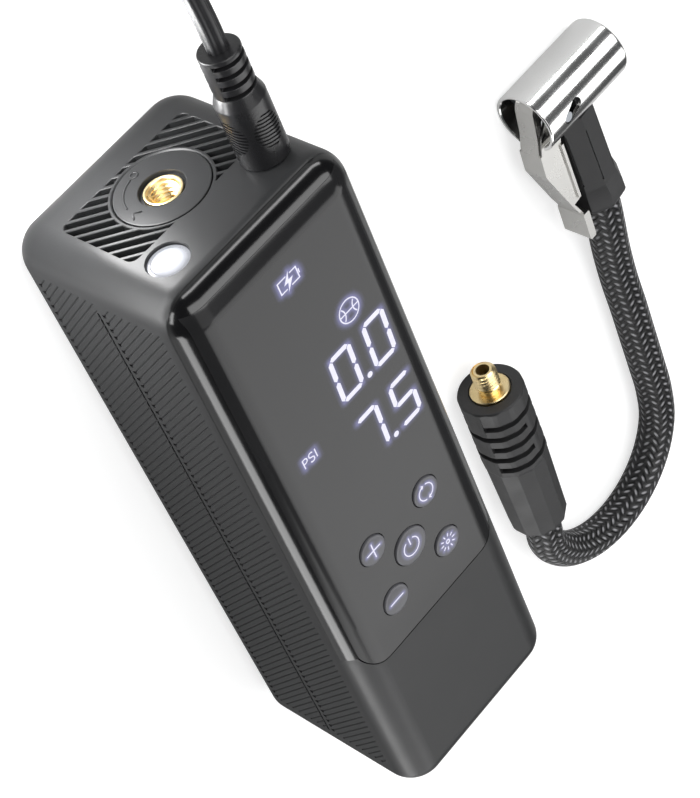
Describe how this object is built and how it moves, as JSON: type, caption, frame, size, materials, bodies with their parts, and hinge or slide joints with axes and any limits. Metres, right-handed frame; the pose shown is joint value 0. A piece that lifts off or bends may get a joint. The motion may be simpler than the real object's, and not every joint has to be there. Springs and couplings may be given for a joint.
{
  "type": "portable tire inflator",
  "caption": "Slim battery tyre inflator with a display and buttons under a smoked window, brass air port, lamp, power lead and a braided hose with a lever chuck.",
  "frame": {"origin": "middle of the body's back face, which the body lies on", "axes": "+X to the display's right, +Y out of the face with the air port, +Z the way the display faces"},
  "size_m": [0.1597, 0.4015, 0.0501],
  "materials": {
    "satin_black_plastic": "moulded ABS, fine satin texture",
    "gloss_black_plastic": "polished black",
    "smoked_window": "smoked acrylic, gloss",
    "button_grey": "satin grey with white marks",
    "brass_metal": "turned brass, polished",
    "steel_bright": "plated steel",
    "zinc_grey": "die cast",
    "chrome_bright": "bright chrome plate",
    "rubber_black": "satin moulded rubber",
    "hose_braid": "black nylon braid",
    "pcb_green": "solder mask",
    "frame_plastic": "moulded nylon",
    "cell_wrap": "PVC shrink sleeve",
    "copper_rotor": "laminations and copper",
    "nylon_gear": "moulded nylon",
    "lamp_clear": "clear moulded lens",
    "white_part": "white",
    "silicone_tube": "natural silicone",
    "red_part": "red"
  },
  "bodies": {
    "inflator": {"main_housing": "satin_black_plastic", "bezel": "gloss_black_plastic", "display_window": "smoked_window", "bezel_screws": "steel_bright", "port_disc": "satin_black_plastic", "brass_port": "brass_metal", "lamp_lens": "lamp_clear", "lamp_board": "white_part", "dc_socket": "frame_plastic", "display_panel": "frame_plastic", "main_board": "pcb_green", "key_switches": "steel_bright", "pressure_sensor": "white_part", "inner_frame": "frame_plastic", "battery_cells": "cell_wrap", "battery_tabs": "steel_bright", "motor_bracket": "zinc_grey", "motor_can": "steel_bright", "gear_axle": "steel_bright", "bracket_screws": "steel_bright", "cylinder_barrel": "zinc_grey", "cylinder_head": "zinc_grey", "outlet_valve": "red_part", "air_tube": "silicone_tube"},
    "power_key": {"power_button": "button_grey"},
    "plus_key": {"plus_button": "button_grey"},
    "minus_key": {"minus_button": "button_grey"},
    "mode_key": {"mode_button": "button_grey"},
    "light_key": {"light_button": "button_grey"},
    "rotor": {"motor_rotor": "copper_rotor", "motor_pinion": "brass_metal"},
    "crank": {"crank_gear": "nylon_gear", "crank_pin": "steel_bright"},
    "piston": {"piston_rod": "nylon_gear", "piston_cup": "rubber_black"},
    "power_lead": {"dc_plug": "rubber_black", "dc_plug_tip": "steel_bright", "plug_relief": "rubber_black", "dc_cord": "rubber_black", "cord_coil": "rubber_black", "cord_tail": "rubber_black", "cord_tie": "rubber_black", "car_plug_body": "satin_black_plastic", "car_plug_collar": "red_part", "car_plug_contacts": "steel_bright", "car_plug_relief": "rubber_black"},
    "car_tip": {"car_plug_tip": "steel_bright"},
    "hose_set": {"hose_connector": "rubber_black", "hose_fitting": "brass_metal", "hose_tube": "hose_braid", "chuck_barrel": "chrome_bright", "chuck_grip": "rubber_black", "chuck_seal": "rubber_black", "valve_depressor": "brass_metal"},
    "lever": {"chuck_lever": "chrome_bright", "lever_pins": "steel_bright"}
  },
  "joints": [
    {"name": "power_press", "type": "slide", "parent": "inflator", "child": "power_key", "axis": [0, 0, -1], "range_m": [0, 0.0006], "stiffness_N_per_m": 300, "springref_m": -0.0003},
    {"name": "plus_press", "type": "slide", "parent": "inflator", "child": "plus_key", "axis": [0, 0, -1], "range_m": [0, 0.0006], "stiffness_N_per_m": 300, "springref_m": -0.0003},
    {"name": "minus_press", "type": "slide", "parent": "inflator", "child": "minus_key", "axis": [0, 0, -1], "range_m": [0, 0.0006], "stiffness_N_per_m": 300, "springref_m": -0.0003},
    {"name": "mode_press", "type": "slide", "parent": "inflator", "child": "mode_key", "axis": [0, 0, -1], "range_m": [0, 0.0006], "stiffness_N_per_m": 300, "springref_m": -0.0003},
    {"name": "light_press", "type": "slide", "parent": "inflator", "child": "light_key", "axis": [0, 0, -1], "range_m": [0, 0.0006], "stiffness_N_per_m": 300, "springref_m": -0.0003},
    {"name": "rotor_spin", "type": "hinge", "parent": "inflator", "child": "rotor", "pos_m": [0.0004, 0.02, 0.029], "axis": [0, 1, 0], "continuous": true},
    {"name": "crank_spin", "type": "hinge", "parent": "inflator", "child": "crank", "pos_m": [-0.0086, 0.0395, 0.017], "axis": [0, 1, 0], "continuous": true},
    {"name": "piston_slide", "type": "slide", "parent": "inflator", "child": "piston", "axis": [1, 0, 0], "range_m": [0, 0.009]},
    {"name": "lead_unplug", "type": "slide", "parent": "inflator", "child": "power_lead", "axis": [0, 1, 0], "range_m": [0, 0.012]},
    {"name": "car_tip_press", "type": "slide", "parent": "power_lead", "child": "car_tip", "axis": [0, -1, 0], "range_m": [0, 0.0025], "stiffness_N_per_m": 500, "springref_m": -0.001},
    {"name": "hose_lift", "type": "slide", "parent": "inflator", "child": "hose_set", "axis": [0, 0, 1], "range_m": [0, 0.05]},
    {"name": "lever_turn", "type": "hinge", "parent": "hose_set", "child": "lever", "pos_m": [0.1035, 0.0013, 0.008], "axis": [0, 0, -1], "range_deg": [0, 60]}
  ],
  "couplings": [
    {"joint": "rotor_spin", "follows": "crank_spin", "ratio": -4}
  ]
}
